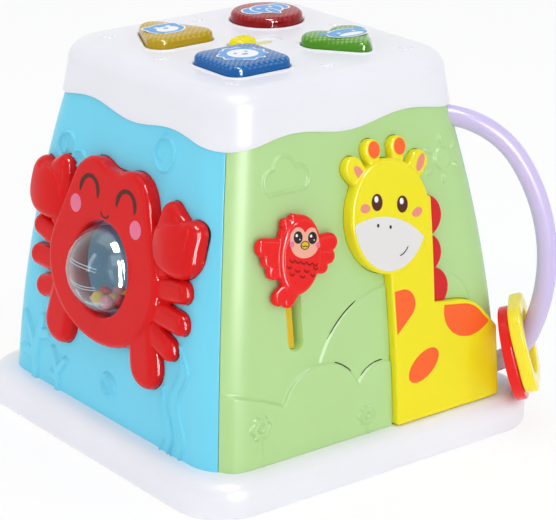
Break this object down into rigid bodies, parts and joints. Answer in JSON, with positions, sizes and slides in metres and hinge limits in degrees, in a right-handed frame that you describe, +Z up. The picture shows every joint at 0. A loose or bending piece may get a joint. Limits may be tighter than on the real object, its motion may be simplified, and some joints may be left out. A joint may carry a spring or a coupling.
{
  "type": "activity cube",
  "caption": "Tapering four-sided toy on a foot tray with a spinning rattle ball, a sliding bird, a bow handle with loose rings and sprung sound buttons on top.",
  "frame": {"origin": "middle of the tray's underside, on the table", "axes": "+Z up; the face with the giraffe and the bird looks towards -Y, the face with the crab towards -X; the handle is on the corner between +X and -Y"},
  "size_m": [0.2401, 0.246, 0.2156],
  "materials": {
    "white": "smooth, slightly glossy",
    "blue": "satin",
    "green": "satin",
    "crab_red": "high gloss",
    "bird_red": "gloss",
    "yellow": "satin",
    "lavender": "gloss",
    "bluegrey": "satin",
    "clear": "clear, polished",
    "clear_blue": "translucent, polished",
    "clear_yellow": "translucent, polished",
    "clear_red": "translucent, polished",
    "clear_green": "translucent, polished",
    "pink": "gloss",
    "silicone": "matte",
    "steel": "plain",
    "board": "satin",
    "dark": "matte",
    "cell": "gloss"
  },
  "bodies": {
    "housing": {"base_tray": "white", "battery_door": "white", "door_screw": "steel", "cells": "cell", "cell_contacts": "steel", "base_screws": "steel", "speaker": "dark", "blue_panel": "blue", "green_panel": "green", "right_panel": "blue", "back_panel": "green", "top_cap": "white", "crab": "crab_red", "ball_cup": "bluegrey", "giraffe": "yellow", "mane": "bird_red", "bird_track": "yellow", "handle": "lavender", "blue_key": "silicone", "yellow_key": "silicone", "red_key": "silicone", "green_key": "silicone", "switch_box": "dark", "circuit_board": "board", "lamps": "white", "board_screws": "steel"},
    "ball": {"ball_front": "clear", "ball_back": "clear"},
    "beads": {"yellow_beads": "yellow", "pink_beads": "pink", "red_beads": "crab_red"},
    "bird": {"bird": "bird_red", "bird_catch": "white"},
    "red_ring": {"red_ring": "bird_red"},
    "yellow_ring": {"yellow_ring": "yellow"},
    "blue_button": {"blue_button": "clear_blue"},
    "yellow_button": {"yellow_button": "clear_yellow"},
    "red_button": {"red_button": "clear_red"},
    "green_button": {"green_button": "clear_green"},
    "switch": {"switch_knob": "yellow"}
  },
  "joints": [
    {"name": "ball_spin", "type": "hinge", "parent": "housing", "child": "ball", "pos_m": [-0.09376, 0, 0.10154], "axis": [0, 1, 0], "continuous": true},
    {"name": "beads_roll", "type": "hinge", "parent": "housing", "child": "beads", "pos_m": [-0.09376, 0, 0.10154], "axis": [0, 1, 0], "continuous": true},
    {"name": "bird_slide", "type": "slide", "parent": "housing", "child": "bird", "axis": [0, -0.1378, -0.9905], "range_m": [0, 0.036]},
    {"name": "red_ring_ride", "type": "hinge", "parent": "housing", "child": "red_ring", "pos_m": [0.03626, -0.03626, 0.09131], "axis": [-0.7071, -0.7071, 0], "range_deg": [0, 26]},
    {"name": "yellow_ring_ride", "type": "hinge", "parent": "red_ring", "child": "yellow_ring", "pos_m": [0.03626, -0.03626, 0.09131], "axis": [-0.7071, -0.7071, 0], "range_deg": [0, 26]},
    {"name": "blue_press", "type": "slide", "parent": "housing", "child": "blue_button", "axis": [0, 0, -1], "range_m": [0, 0.0022], "stiffness_N_per_m": 600, "springref_m": -0.0015, "deforming": ["blue_key"]},
    {"name": "yellow_press", "type": "slide", "parent": "housing", "child": "yellow_button", "axis": [0, 0, -1], "range_m": [0, 0.0022], "stiffness_N_per_m": 600, "springref_m": -0.0015, "deforming": ["yellow_key"]},
    {"name": "red_press", "type": "slide", "parent": "housing", "child": "red_button", "axis": [0, 0, -1], "range_m": [0, 0.0022], "stiffness_N_per_m": 600, "springref_m": -0.0015, "deforming": ["red_key"]},
    {"name": "green_press", "type": "slide", "parent": "housing", "child": "green_button", "axis": [0, 0, -1], "range_m": [0, 0.0022], "stiffness_N_per_m": 600, "springref_m": -0.0015, "deforming": ["green_key"]},
    {"name": "switch_slide", "type": "slide", "parent": "housing", "child": "switch", "axis": [1, 0, 0], "range_m": [0, 0.016]}
  ]
}
